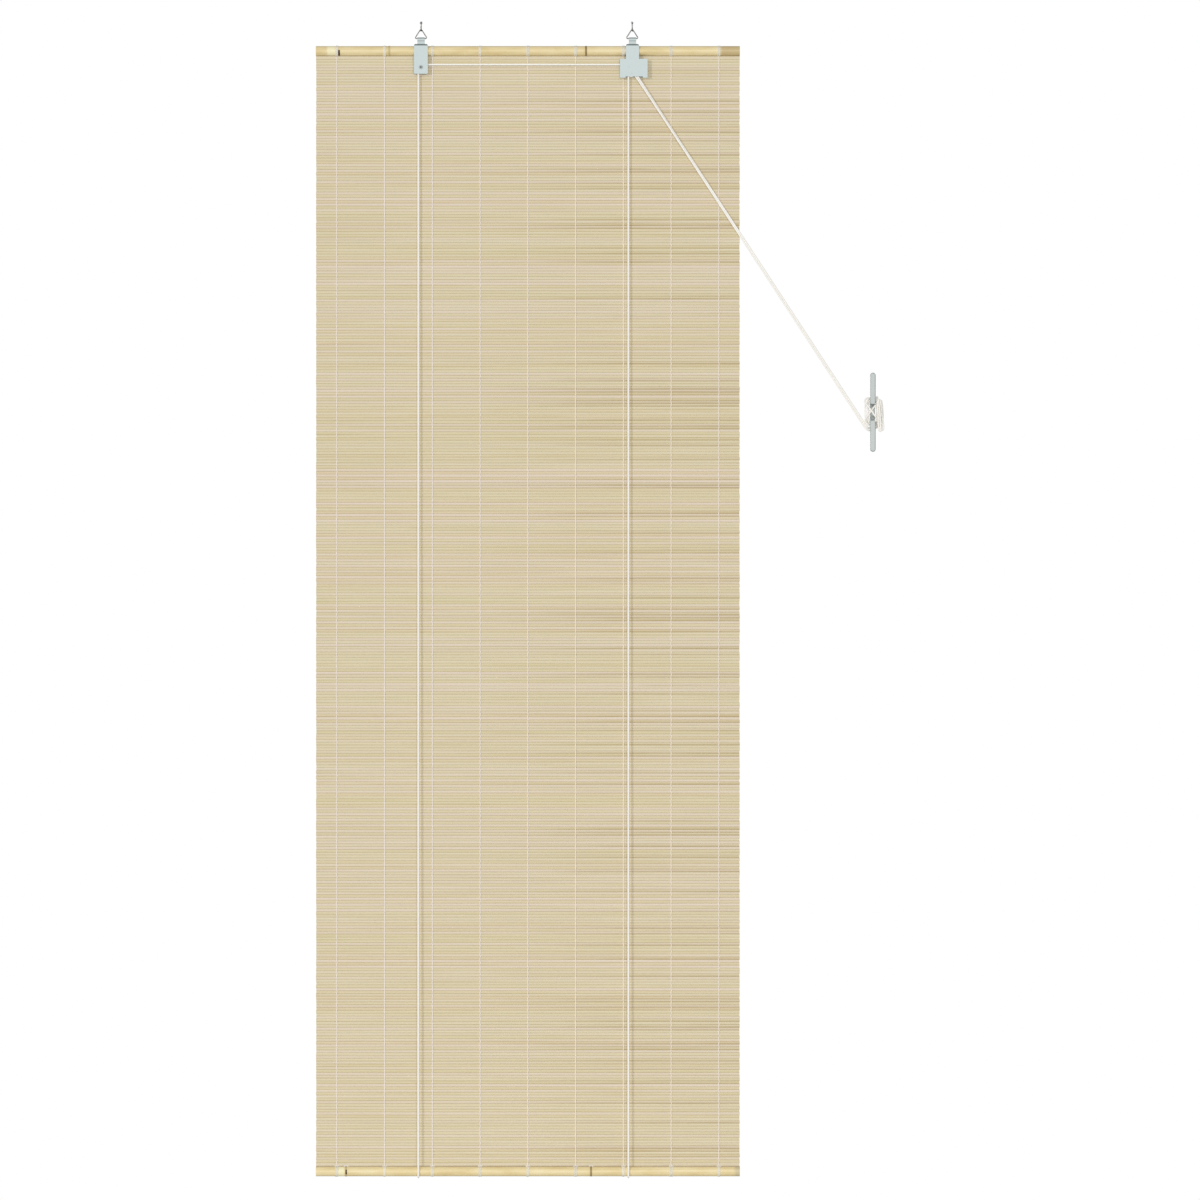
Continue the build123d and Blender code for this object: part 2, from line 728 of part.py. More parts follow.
# The winding: the outer shape of the cord's turns round both stems and of their crossing in front
with BuildPart() as winding:
    with BuildSketch(facing_room(cleat_x, -winding_back, cleat_z)):
        with Locations(((winding_right - winding_left) / 2, (winding_up - winding_down) / 2)):
            SlotOverall(winding_up + winding_down, winding_right + winding_left, rotation=90)
        half_gap = cleat_width / 2 + winding_play
        Rectangle(2 * half_gap, 2 * (stem_outside + winding_play), mode=Mode.SUBTRACT)
    extrude(amount=winding_front - winding_back)
    fillet(winding.faces().sort_by(Axis.Y)[0].outer_wire().edges(), cord_radius)
    fillet(winding.faces().sort_by(Axis.Y)[-1].outer_wire().edges(), cord_radius)
    crossing_rear = crossing_behind + pair_step - winding_front
    for slope in (-1, 1):
        with BuildSketch(facing_room(cleat_x, crossing_rear, cleat_z)):
            with BuildLine():
                Line((-crossing_half, -slope * crossing_up), (crossing_half, slope * crossing_up))
            trace(line_width=pair_step)
        extrude(amount=pair_step)
keep(winding, "cleat_winding")

# The tail: the short loops of spare cord that hang at the winding's right
with BuildPart() as tail:
    with BuildSketch(facing_room(cleat_x, -winding_front - tail_gap, cleat_z)):
        tail_drop = tail_top[1] - tail_bottom[1]
        with Locations(((tail_top[0] + tail_bottom[0]) / 2, (tail_top[1] + tail_bottom[1]) / 2)):
            lean = degrees(atan2(tail_drop, tail_top[0] - tail_bottom[0]))
            SlotOverall(tail_drop + tail_width, tail_width, rotation=lean)
    extrude(amount=tail_depth)
    fillet(tail.faces().sort_by(Axis.Y)[0].edges(), tail_round)
    fillet(tail.faces().sort_by(Axis.Y)[-1].edges(), tail_round)
keep(tail, "cord_tail")
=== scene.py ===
import random
from math import cos, pi, radians, sin

import bmesh
import bpy
from mathutils import Matrix, Vector


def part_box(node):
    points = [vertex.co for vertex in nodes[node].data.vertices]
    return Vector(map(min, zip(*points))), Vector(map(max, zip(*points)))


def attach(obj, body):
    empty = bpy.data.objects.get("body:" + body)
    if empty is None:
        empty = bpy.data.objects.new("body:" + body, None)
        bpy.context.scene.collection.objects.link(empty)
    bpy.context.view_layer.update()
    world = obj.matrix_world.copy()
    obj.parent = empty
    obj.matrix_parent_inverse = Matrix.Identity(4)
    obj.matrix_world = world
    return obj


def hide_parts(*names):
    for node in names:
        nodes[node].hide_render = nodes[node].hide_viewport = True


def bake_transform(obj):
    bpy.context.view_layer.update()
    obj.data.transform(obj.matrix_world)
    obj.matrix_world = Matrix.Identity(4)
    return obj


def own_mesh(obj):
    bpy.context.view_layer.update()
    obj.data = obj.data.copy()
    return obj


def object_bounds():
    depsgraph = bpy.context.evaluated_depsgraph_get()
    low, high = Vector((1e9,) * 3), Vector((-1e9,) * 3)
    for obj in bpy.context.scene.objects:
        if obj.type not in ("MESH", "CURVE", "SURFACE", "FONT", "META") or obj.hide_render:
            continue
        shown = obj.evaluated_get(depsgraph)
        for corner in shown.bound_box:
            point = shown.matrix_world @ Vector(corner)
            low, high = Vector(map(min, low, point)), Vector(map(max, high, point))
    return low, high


# A bamboo roll-up blind on two wall hooks, with its pulleys, cords and wall cleat. Metres, in the row frame:
# +X is to the right, -Y is towards the room and +Z is up, and the wall is at y = 0.
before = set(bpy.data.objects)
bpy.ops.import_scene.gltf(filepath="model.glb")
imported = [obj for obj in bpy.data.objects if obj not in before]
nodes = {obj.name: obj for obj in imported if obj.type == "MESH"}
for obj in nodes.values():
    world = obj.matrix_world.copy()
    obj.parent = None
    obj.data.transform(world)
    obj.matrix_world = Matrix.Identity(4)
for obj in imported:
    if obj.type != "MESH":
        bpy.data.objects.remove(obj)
cad_low, cad_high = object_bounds()
scene = bpy.context.scene
scene.view_settings.view_transform = "Standard"
random.seed(7)

# Camera
# A long lens straight in front of the blind, so that its edges stay parallel as in a catalogue picture.
view_middle = Vector((0.1039, -0.0129, -0.8182))
view_width = 1.6988
camera_data = bpy.data.cameras.new("camera")
camera_data.lens = 200.0
camera_data.sensor_width = 36.0
camera_data.clip_end = 60.0
camera = bpy.data.objects.new("camera", camera_data)
camera.location = view_middle - Vector((0, view_width * camera_data.lens / camera_data.sensor_width, 0))
camera.rotation_euler = (radians(90), 0, 0)
scene.collection.objects.link(camera)
scene.camera = camera

# Studio
# A white background, and a dimmer room round the object, so that edges which turn away from the front darken.
# The key lamp stands far to the left, so the cords' shadows fall to their right.
world = bpy.data.worlds.new("studio")
world.use_nodes = True
scene.world = world
tree = world.node_tree
tree.nodes.clear()
rays = tree.nodes.new("ShaderNodeLightPath")
around = tree.nodes.new("ShaderNodeBackground")
around.inputs["Color"].default_value = (1, 1, 1, 1)
around.inputs["Strength"].default_value = 0.42
white = tree.nodes.new("ShaderNodeBackground")
white.inputs["Color"].default_value = (1, 1, 1, 1)
white.inputs["Strength"].default_value = 1.0
either = tree.nodes.new("ShaderNodeMixShader")
out = tree.nodes.new("ShaderNodeOutputWorld")
tree.links.new(rays.outputs["Is Camera Ray"], either.inputs["Fac"])
tree.links.new(around.outputs[0], either.inputs[1])
tree.links.new(white.outputs[0], either.inputs[2])
tree.links.new(either.outputs[0], out.inputs["Surface"])


def soft_lamp(name, place, size, power):
    """A square soft box that points at the middle of the blind."""
    lamp = bpy.data.lights.new(name, "AREA")
    lamp.shape = "SQUARE"
    lamp.size = size
    lamp.energy = power
    holder = bpy.data.objects.new(name, lamp)
    holder.location = place
    holder.rotation_euler = (view_middle - holder.location).to_track_quat("-Z", "Y").to_euler()
    scene.collection.objects.link(holder)


soft_lamp("key", Vector((-13.5, -16.1, 3.2)), 2.4, 1290.0)
soft_lamp("front", Vector((1.4, -11.7, 0.4)), 6.0, 510.0)
soft_lamp("behind", Vector((-5.0, 11.0, 0.6)), 4.0, 420.0)

# Floor
# A pale matt floor a little below the blind, out of the front view. Views from above show the blind's shadow
# on it.
floor_drop = 0.12
floor_mesh = bpy.data.meshes.new("floor")
floor_form = bmesh.new()
bmesh.ops.create_grid(floor_form, x_segments=1, y_segments=1, size=1.6)
bmesh.ops.scale(floor_form, vec=(1.2, 0.5, 1), verts=floor_form.verts)
bmesh.ops.translate(floor_form, vec=(0.1, -0.3, cad_low.z - floor_drop), verts=floor_form.verts)
floor_form.to_mesh(floor_mesh)
floor_form.free()
floor = bpy.data.objects.new("floor", floor_mesh)
scene.collection.objects.link(floor)
floor_paint = bpy.data.materials.new("pale_floor")
floor_paint.use_nodes = True
floor_paint.node_tree.nodes["Principled BSDF"].inputs["Base Color"].default_value = (0.86, 0.86, 0.85, 1)
floor_paint.node_tree.nodes["Principled BSDF"].inputs["Roughness"].default_value = 0.8
floor_mesh.materials.append(floor_paint)


# Hooks and rings
# Cup hooks and triangles of zinc-plated wire. The hooks screw into the wall, and the rings hang in them.
def linear(red, green, blue):
    """A colour as a screen shows it, 0 to 255, for a shader's socket."""
    parts = [c / 255 for c in (red, green, blue)]
    return (*[c / 12.92 if c <= 0.04045 else ((c + 0.055) / 1.055) ** 2.4 for c in parts], 1)


class Finish:
    """A material with one Principled shader, and short ways to add its textures."""

    def __init__(self, name):
        self.material = bpy.data.materials.new(name)
        self.material.use_nodes = True
        self.tree = self.material.node_tree
        self.shader = self.tree.nodes["Principled BSDF"]
        self.place = self.tree.nodes.new("ShaderNodeTexCoord").outputs["Object"]

    def add(self, kind, **settings):
        node = self.tree.nodes.new(kind)
        for name, value in settings.items():
            setattr(node, name, value)
        return node

    def join(self, source, socket):
        self.tree.links.new(source, socket)

    def set(self, **values):
        for name, value in values.items():
            self.shader.inputs[name.replace("_", " ")].default_value = value

    def sized(self, scale, source=None):
        mapping = self.add("ShaderNodeMapping")
        mapping.inputs["Scale"].default_value = scale
        self.join(source or self.place, mapping.inputs["Vector"])
        return mapping.outputs["Vector"]

    def noise(self, vector, scale=1.0, detail=3.0, roughness=0.55):
        texture = self.add("ShaderNodeTexNoise")
        texture.inputs["Scale"].default_value = scale
        texture.inputs["Detail"].default_value = detail
        texture.inputs["Roughness"].default_value = roughness
        self.join(vector, texture.inputs["Vector"])
        return texture.outputs["Fac"]

    def ramp(self, source, *stops):
        """Colours or greys along a 0 to 1 source."""
        ramp = self.add("ShaderNodeValToRGB")
        while len(ramp.color_ramp.elements) < len(stops):
            ramp.color_ramp.elements.new(0.5)
        for element, (place, colour) in zip(ramp.color_ramp.elements, stops):
            element.position = place
            element.color = colour if isinstance(colour, tuple) else (colour, colour, colour, 1)
        self.join(source, ramp.inputs["Fac"])
        return ramp.outputs["Color"]

    def math(self, operation, first, second=None, third=None):
        node = self.add("ShaderNodeMath", operation=operation)
        for socket, value in zip(node.inputs, (first, second, third)):
            if isinstance(value, (int, float)):
                socket.default_value = value
            elif value is not None:
                self.join(value, socket)
        return node.outputs[0]

    def mix(self, share, under, over):
        node = self.add("ShaderNodeMix", data_type="RGBA")
        sockets = (node.inputs["Factor"], node.inputs[6], node.inputs[7])
        for socket, value in zip(sockets, (share, under, over)):
            if isinstance(value, (int, float, tuple)):
                socket.default_value = value
            else:
                self.join(value, socket)
        return node.outputs[2]

    def bump(self, height, distance, strength=1.0):
        node = self.add("ShaderNodeBump")
        node.inputs["Distance"].default_value = distance
        node.inputs["Strength"].default_value = strength
        self.join(height, node.inputs["Height"])
        self.join(node.outputs["Normal"], self.shader.inputs["Normal"])


def dress(node, finish):
    """Gives a CAD node this finish."""
    nodes[node].data.materials.clear()
    nodes[node].data.materials.append(finish.material)


wire = Finish("zinc_wire")
wire.set(Metallic=1.0)
drawn = wire.noise(wire.sized((900, 900, 900)), 1.0, 4.0)
zinc = wire.ramp(drawn, (0.3, linear(118, 118, 116)), (0.7, linear(152, 152, 150)))
wire.join(zinc, wire.shader.inputs["Base Color"])
wire.join(wire.ramp(drawn, (0.3, 0.26), (0.7, 0.44)), wire.shader.inputs["Roughness"])
wire.bump(drawn, 0.00003)
for part in ("left_hook", "right_hook", "left_ring", "right_ring"):
    dress(part, wire)


# Brackets
# Straps of galvanised sheet with a pale blue-green spangle, each folded over its ring's bar and down both
# sides of the top rod. The rivet and the screws are plated steel.
def galvanised(name, dark, light):
    """A zinc coat with a fine spangle between a dark and a light tone."""
    sheet = Finish(name)
    sheet.set(Metallic=0.3)
    spangle = sheet.add("ShaderNodeTexVoronoi", feature="F1")
    spangle.inputs["Scale"].default_value = 900.0
    sheet.join(sheet.place, spangle.inputs["Vector"])
    grain = sheet.add("ShaderNodeSeparateColor")
    sheet.join(spangle.outputs["Color"], grain.inputs["Color"])
    cloud = sheet.noise(sheet.sized((160, 160, 160)), 1.0, 4.0)
    tone = sheet.math("MULTIPLY_ADD", grain.outputs[0], 0.4, sheet.math("MULTIPLY", cloud, 0.6))
    sheet.join(sheet.ramp(tone, (0.2, dark), (0.8, light)), sheet.shader.inputs["Base Color"])
    sheet.join(sheet.ramp(tone, (0.2, 0.5), (0.8, 0.66)), sheet.shader.inputs["Roughness"])
    sheet.bump(sheet.noise(sheet.sized((1500, 1500, 1500)), 1.0, 3.0), 0.00002)
    return sheet


strap = galvanised("galvanised_strap", linear(187, 200, 200), linear(205, 215, 213))
# Painted shade at the strap's bends: round the ring's bar, at the neck and on the shoulders, the colour is
# darkened where the bends lie in shade.
ring_bar_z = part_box("left_ring")[0].z
height = strap.add("ShaderNodeSeparateXYZ")
strap.join(strap.place, height.inputs[0])
sheet_colour = strap.shader.inputs["Base Color"].links[0].from_socket
for above_bar, half_wide, share in ((0.0016, 0.0009, 0.6), (-0.0025, 0.0008, 0.35), (-0.0084, 0.0010, 0.85)):
    away = strap.math("ABSOLUTE", strap.math("SUBTRACT", height.outputs["Z"], ring_bar_z + above_bar))
    crease_shade = strap.ramp(strap.math("DIVIDE", away, 2 * half_wide), (0.4, share), (0.8, 0.0))
    # Each band of painted shade is mixed into the sheet's colour.
    sheet_colour = strap.mix(crease_shade, sheet_colour, linear(84, 96, 96))
strap.join(sheet_colour, strap.shader.inputs["Base Color"])
for part in ("left_bracket", "right_bracket", "right_bracket_rear_plate", "right_bracket_pins"):
    dress(part, strap)
plated = galvanised("plated_steel", linear(144, 152, 151), linear(180, 187, 185))
for part in ("left_pulley_rivet", "bracket_screws", "cleat_screws"):
    dress(part, plated)

# Pulleys
# Small grooved wheels moulded in white nylon. They turn on the left bracket's rivet and on the right one's
# pins, and the cords run over them.
nylon = Finish("white_nylon")
worn = nylon.noise(nylon.sized((700, 700, 700)), 1.0, 3.0)
moulded = nylon.ramp(worn, (0.3, linear(222, 219, 208)), (0.7, linear(238, 236, 228)))
nylon.join(moulded, nylon.shader.inputs["Base Color"])
nylon.join(nylon.ramp(worn, (0.3, 0.38), (0.7, 0.5)), nylon.shader.inputs["Roughness"])
for part in ("left_pulley", "header_pulley", "lift_pulley"):
    dress(part, nylon)


# Rods
# Two thin bamboo culms. Each has fine lengthwise fibres, a dark ring at each node, and the scar of a cut
# branch with a pale scraped patch beside it.
top_low, top_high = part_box("top_rod")
bottom_low, bottom_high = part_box("bottom_rod")
blind_right = top_high.x
top_rod_z = (top_low.z + top_high.z) / 2
bottom_rod_z = (bottom_low.z + bottom_high.z) / 2
rod_y = (top_low.y + top_high.y) / 2
rod_radius = 0.007
top_nodes = (-0.1945, 0.0841)
bottom_nodes = (-0.2557, 0.0912)
scar_side_y = -0.012  # the scar is on the room's side of this


def culm(name, rod_z, rings, scar, patch, right_end):
    """The finish of one rod: its rings, scar and patch at these places along it, and its aged right end."""
    bark = Finish(name)
    bark.set(Roughness=0.42)
    fibres = bark.noise(bark.sized((6, 900, 900)), 1.0, 5.0, 0.6)
    blotches = bark.noise(bark.sized((22, 60, 60)), 1.0, 3.0)
    skin = bark.ramp(
        bark.math("MULTIPLY_ADD", fibres, 0.45, bark.math("MULTIPLY", blotches, 0.55)),
        (0.30, linear(213, 189, 131)),
        (0.50, linear(233, 214, 164)),
        (0.68, linear(242, 228, 185)),
    )
    axes = bark.add("ShaderNodeSeparateXYZ")
    bark.join(bark.place, axes.inputs[0])
    wobble = bark.math("MULTIPLY_ADD", bark.noise(bark.sized((0, 160, 160)), 1.0, 2.0), 0.0012, -0.0006)
    along = bark.math("ADD", axes.outputs["X"], wobble)

    def band(middle, half, soft, coordinate=along):
        """1 within half of the middle, falling to 0 over soft."""
        away = bark.math("ABSOLUTE", bark.math("SUBTRACT", coordinate, middle))
        fade = bark.add("ShaderNodeMapRange", interpolation_type="SMOOTHSTEP")
        for socket, value in zip(fade.inputs[1:5], (half, half + soft, 1.0, 0.0)):
            socket.default_value = value
        bark.join(away, fade.inputs[0])
        return fade.outputs[0]

    for ring, strength in rings:
        halo = bark.math("MULTIPLY", band(ring - 0.0006, 0.0011, 0.003), 0.35)
        skin = bark.mix(halo, skin, linear(204, 186, 120))
        groove = bark.math("MULTIPLY", band(ring, 0.0009, 0.0008), strength)
        skin = bark.mix(groove, skin, linear(128, 102, 62))
    skin = bark.mix(bark.math("MULTIPLY", band(patch, 0.0042, 0.003), 0.8), skin, linear(247, 240, 200))
    scar_x, scar_z, scar_half_x, scar_half_z = scar
    mark = bark.math(
        "MULTIPLY", band(scar_x, scar_half_x, 0.0006), band(scar_z, scar_half_z, 0.0012, axes.outputs["Z"])
    )
    towards_room = bark.math("LESS_THAN", axes.outputs["Y"], scar_side_y)
    mark = bark.math("MULTIPLY", mark, towards_room)
    skin = bark.mix(mark, skin, linear(70, 48, 18))
    end_share, end_reach, end_colour = right_end
    skin = bark.mix(bark.math("MULTIPLY", band(blind_right, end_reach, 0.006), end_share), skin, end_colour)
    # Painted shade: the skin is darkened towards the rod's upper and lower outline, where its round face
    # turns away from the front.
    edge = bark.math("ABSOLUTE", bark.math("SUBTRACT", axes.outputs["Z"], rod_z))
    outline_shade = bark.ramp(bark.math("MULTIPLY", edge, 100.0), (0.60, 0.0), (0.69, 0.55))
    skin = bark.mix(outline_shade, skin, linear(150, 124, 76))
    bark.join(skin, bark.shader.inputs["Base Color"])
    dents = bark.math("MULTIPLY", mark, -3.0)
    bark.bump(bark.math("ADD", fibres, dents), 0.00012)
    return bark


dress("top_rod", culm(
    "top_culm", top_rod_z, rings=zip(top_nodes, (0.25, 0.9)),
    scar=(-0.2654, top_rod_z - 0.0028, 0.0011, 0.0034), patch=-0.2765,
    right_end=(0.65, 0.024, linear(178, 152, 98)),
))
dress("bottom_rod", culm(
    "bottom_culm", bottom_rod_z, rings=zip(bottom_nodes, (0.3, 0.8)),
    scar=(-0.2552, bottom_rod_z - 0.0005, 0.0008, 0.0028), patch=-0.2635,
    right_end=(0.6, 0.004, linear(188, 178, 148)),
))


# Mat
# Nearly four hundred flat bamboo slats, split from culms, so each has its own width, thickness and tone. They
# lie edge to edge and are held by the warp threads alone.
def new_piece(name, mesh, body, slot, *stands_for, finish=None):
    """An object for this mesh that rides on a body and stands for CAD nodes."""
    piece = bpy.data.objects.new(name, mesh)
    scene.collection.objects.link(piece)
    if finish:
        mesh.materials.clear()
        mesh.materials.append(finish.material)
    if body:
        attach(piece, body)
    if stands_for:
        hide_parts(*stands_for)
    return piece


mat_low, mat_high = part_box("slat_mat")
mat_width = mat_high.x - mat_low.x
mat_height = mat_high.z - mat_low.z
slat_width = 0.004
slat_count = round(mat_height / slat_width)
slat_pitch = mat_height / slat_count
slat_stretches = 8
slat_half_thickness = 0.00078
slat_joint = 0.00003
slat_flat = 0.74  # the share of its width that is flat
slat_side = 0.42  # the share of its thickness that its edges have


def slat_shape(cuts):
    """A slat along X about the origin, 2 wide and 2 thick, with rings of corners at these cuts."""
    form = bmesh.new()
    bmesh.ops.create_cone(
        form, segments=8, radius1=1, radius2=1, depth=mat_width, cap_ends=True, cap_tris=False
    )
    bmesh.ops.rotate(form, matrix=Matrix.Rotation(pi / 8, 3, "Z"), verts=form.verts)
    for v in form.verts:
        wide = abs(v.co.x) > abs(v.co.y)
        v.co.x = (1 if wide else slat_flat) * (1 if v.co.x > 0 else -1)
        v.co.y = (slat_side if wide else 1) * (1 if v.co.y > 0 else -1)
    bmesh.ops.rotate(form, matrix=Matrix.Rotation(radians(90), 3, "Y"), verts=form.verts)
    for cut in cuts:
        everything = list(form.verts) + list(form.edges) + list(form.faces)
        bmesh.ops.bisect_plane(form, geom=everything, plane_co=(cut, 0, 0), plane_no=(1, 0, 0))
    mesh = bpy.data.meshes.new("slat")
    form.to_mesh(mesh)
    form.free()
    return mesh


warp_middle = (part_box("front_warp_threads")[0].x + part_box("front_warp_threads")[1].x) / 2
warp_count = 9
warp_pitch = 0.0676
warp_x = [warp_middle + (i - warp_count // 2) * warp_pitch for i in range(warp_count)]
plain_slat = slat_shape([(i / slat_stretches - 0.5) * mat_width for i in range(1, slat_stretches)])
# The last slat is hollowed above each binding and each node of the bottom rod, which turns just below it.
mat_middle_x = (mat_low.x + mat_high.x) / 2
hollows = warp_x + list(bottom_nodes)
hollow_half = 0.0028
hollow_end = 0.0034
hollow_cuts = (-hollow_end, -hollow_half, hollow_half, hollow_end)
last_slat = slat_shape([x - mat_middle_x + cut for x in hollows for cut in hollow_cuts])
last_slat_gap = 0.0001  # between the last slat and the bottom rod
edge_drift = 0.00016
depth_drift = 0.00008
most_tilt = 4  # degrees
most_bow = 0.00012
most_trim = 0.0006

mat_form = bmesh.new()
tone_layer = mat_form.verts.layers.float.new("tone")
shade_layer = mat_form.verts.layers.float.new("shade")
lower_layer = mat_form.verts.layers.float.new("lower")
edges_z = [
    mat_high.z - i * slat_pitch + random.uniform(-edge_drift, edge_drift)
    for i in range(slat_count + 1)
]
edges_z[0] = top_rod_z - rod_radius - slat_joint
edges_z[-1] = mat_low.z
for i in range(slat_count):
    shape = last_slat if i == slat_count - 1 else plain_slat
    mat_form.from_mesh(shape)
    mat_form.verts.ensure_lookup_table()
    slat = mat_form.verts[-len(shape.vertices):]
    half_width = (edges_z[i] - edges_z[i + 1] - slat_joint) / 2
    half_thickness = slat_half_thickness * random.uniform(0.8, 1.0)
    centre_z = (edges_z[i] + edges_z[i + 1]) / 2
    centre_y = rod_y + random.uniform(-depth_drift, depth_drift)
    tilt = radians(random.uniform(-most_tilt, most_tilt))
    bow_y = random.uniform(-most_bow, most_bow)
    phase = random.uniform(0, 2 * pi)
    trim = (random.uniform(0, most_trim), random.uniform(0, most_trim))
    tone = min(1.0, max(0.0, random.uniform(0.0, 0.62) + (0.38 if i % 2 else 0.0)))
    shade = random.random()
    for v in slat:
        end = 1 if v.co.x > 0 else 0
        share = v.co.x / mat_width
        across = v.co.z * half_width
        out_of = v.co.y * half_thickness
        if abs(share) > 0.49:
            v.co.x -= trim[end] * (1 if end else -1)
        wave = sin(share * 4 * pi + phase)
        v.co.y = centre_y + out_of * cos(tilt) - across * sin(tilt) + wave * bow_y
        v.co.z = centre_z + across * cos(tilt) + out_of * sin(tilt)
        v.co.x += mat_middle_x
        beside_hollows = min(abs(v.co.x - x) for x in hollows) > (hollow_half + hollow_end) / 2
        if shape == last_slat and across < 0 and beside_hollows:
            v.co.z -= mat_low.z - (bottom_rod_z + rod_radius + last_slat_gap)
        v[tone_layer] = tone
        v[shade_layer] = shade
        v[lower_layer] = 1.0 if across < 0 else 0.0
mat_mesh = bpy.data.meshes.new("bamboo_slats")
mat_form.to_mesh(mat_mesh)
mat_form.free()
mat_mesh.shade_smooth()
mat_mesh.set_sharp_from_angle(angle=radians(60))

slats = Finish("split_bamboo")
slats.set(Roughness=0.58)
slat_tone = slats.add("ShaderNodeAttribute", attribute_name="tone").outputs["Fac"]
slat_shade = slats.add("ShaderNodeAttribute", attribute_name="shade").outputs["Fac"]
slat_axes = slats.add("ShaderNodeSeparateXYZ")
slats.join(slats.place, slat_axes.inputs[0])
streak = slats.noise(slats.sized((5, 300, 1500)), 1.0, 5.0, 0.62)
drift = slats.noise(slats.sized((9, 40, 420)), 1.0, 2.0)
split_tone = slats.ramp(
    slat_tone,
    (0.0, linear(226, 211, 193)),
    (0.3, linear(222, 208, 184)),
    (0.55, linear(219, 208, 173)),
    (0.8, linear(216, 204, 162)),
    (1.0, linear(220, 202, 166)),
)
contrast = slats.add("ShaderNodeMapRange", interpolation_type="SMOOTHSTEP")
for socket, value in zip(contrast.inputs[1:5], (-0.05, 0.17, 0.12, 0.85)):
    socket.default_value = value
slats.join(slat_axes.outputs["X"], contrast.inputs[0])
drifting = slats.math("ADD", slat_shade, slats.math("MULTIPLY_ADD", drift, 0.6, -0.3))
dark_slat = slats.ramp(drifting, (0.68, 0.0), (0.86, 1.0))
lower = slats.add("ShaderNodeAttribute", attribute_name="lower").outputs["Fac"]
low_edge = slats.ramp(lower, (0.35, 0.25), (0.75, 1.0))
dark_share = slats.math("MULTIPLY", slats.math("MULTIPLY", dark_slat, contrast.outputs[0]), 0.8)
dark_share = slats.math("MULTIPLY", dark_share, low_edge)
wood = slats.mix(dark_share, split_tone, linear(172, 148, 92))
wood = slats.mix(slats.ramp(streak, (0.42, 0.0), (0.72, 0.42)), wood, linear(188, 166, 116))
wood = slats.mix(slats.ramp(drift, (0.35, 0.0), (0.75, 0.4)), wood, linear(232, 220, 196))
slats.join(wood, slats.shader.inputs["Base Color"])
slats.bump(streak, 0.00010)
mat = new_piece("bamboo_slats", mat_mesh, "headrail", "slat_mat", "slat_mat", finish=slats)
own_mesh(mat)

# Warp threads
# Nine pairs of cotton threads. One of each pair runs in front of the slats and one behind, and they cross
# between every two slats, which grips them.
cotton = Finish("cotton_thread")
cotton.set(Roughness=0.85)
twist = cotton.add("ShaderNodeTexWave", wave_type="BANDS", bands_direction="DIAGONAL")
twist.inputs["Scale"].default_value = 900.0
twist.inputs["Distortion"].default_value = 1.5
cotton.join(cotton.place, twist.inputs["Vector"])
cotton.join(
    cotton.ramp(twist.outputs["Fac"], (0.1, linear(240, 228, 218)), (0.7, linear(252, 244, 236))),
    cotton.shader.inputs["Base Color"],
)
cotton.bump(twist.outputs["Fac"], 0.0001)

thread_radius = 0.00078
thread_sway = 0.0003
crest_out = slat_half_thickness + 0.00035
crossing_out = crest_out - 0.0002


def bent_threads(name, radius, runs, sides=0, tilt=0.0):
    """One mesh of threads, each along a run of points and turned by the tilt about its own line."""
    curve = bpy.data.curves.new(name, "CURVE")
    curve.dimensions = "3D"
    curve.bevel_depth = radius
    curve.bevel_resolution = sides
    curve.use_fill_caps = True
    for run in runs:
        spline = curve.splines.new("POLY")
        spline.points.add(len(run) - 1)
        for point, place in zip(spline.points, run):
            point.co = (*place, 1)
            point.tilt = tilt
    holder = bpy.data.objects.new(name, curve)
    mesh = bpy.data.meshes.new_from_object(holder)
    bpy.data.objects.remove(holder)
    mesh.name = name
    mesh.shade_smooth()
    mesh.set_sharp_from_angle(angle=radians(60))
    return mesh


for name, side, node in (("front", -1, "front_warp_threads"), ("back", 1, "back_warp_threads")):
    runs = []
    for x in warp_x:
        run = [(x, rod_y + side * crossing_out, mat_high.z)]
        for i in range(slat_count):
            sway = side * (thread_sway if i % 2 else -thread_sway)
            run.append((x, rod_y + side * crest_out, mat_high.z - (i + 0.5) * slat_pitch))
            run.append((x + sway, rod_y + side * crossing_out, mat_high.z - (i + 1) * slat_pitch))
        runs.append(run)
    thread_mesh = bent_threads(f"{name}_warps", thread_radius, runs, tilt=pi / 4)
    threads = new_piece(f"{name}_warps", thread_mesh, "headrail", node, node, finish=cotton)
    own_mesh(threads)

# Bindings
# Soft cream thread, wound round the rod above and the rod below in five close turns at each pair of warps,
# so that the mat is tied to both rods.
binding = Finish("binding_thread")
binding.set(Roughness=0.85)
strands = binding.add("ShaderNodeTexWave", wave_type="BANDS", bands_direction="DIAGONAL")
strands.inputs["Scale"].default_value = 800.0
strands.inputs["Distortion"].default_value = 2.0
binding.join(binding.place, strands.inputs["Vector"])
binding.join(
    binding.ramp(strands.outputs["Fac"], (0.1, linear(238, 230, 208)), (0.7, linear(250, 246, 232))),
    binding.shader.inputs["Base Color"],
)
binding.bump(strands.outputs["Fac"], 0.0001)
winds = 5
wind_steps = 20
binding_width = 0.0040
binding_radius = 0.00038
thread_slack = 0.0001
for name, node, z, body in (
    ("top_bindings", "top_rod_bindings", top_rod_z, "headrail"),
    ("bottom_bindings", "bottom_rod_bindings", bottom_rod_z, "rolling_rod"),
):
    runs = []
    for x in warp_x:
        run = []
        reach = rod_radius + binding_radius * 0.9
        spread = random.uniform(0.8, 1.15)
        for step in range(winds * wind_steps + 1):
            angle = pi / 2 + 2 * pi * step / wind_steps
            over = reach + (thread_slack if step % 7 == 3 else 0)
            along = (step / (winds * wind_steps) - 0.5) * binding_width * spread
            run.append((x + along, rod_y + over * sin(angle), z + over * cos(angle)))
        runs.append(run)
    mesh = bent_threads(name, binding_radius, runs, sides=1)
    new_piece(name, mesh, body, node, node, finish=binding)

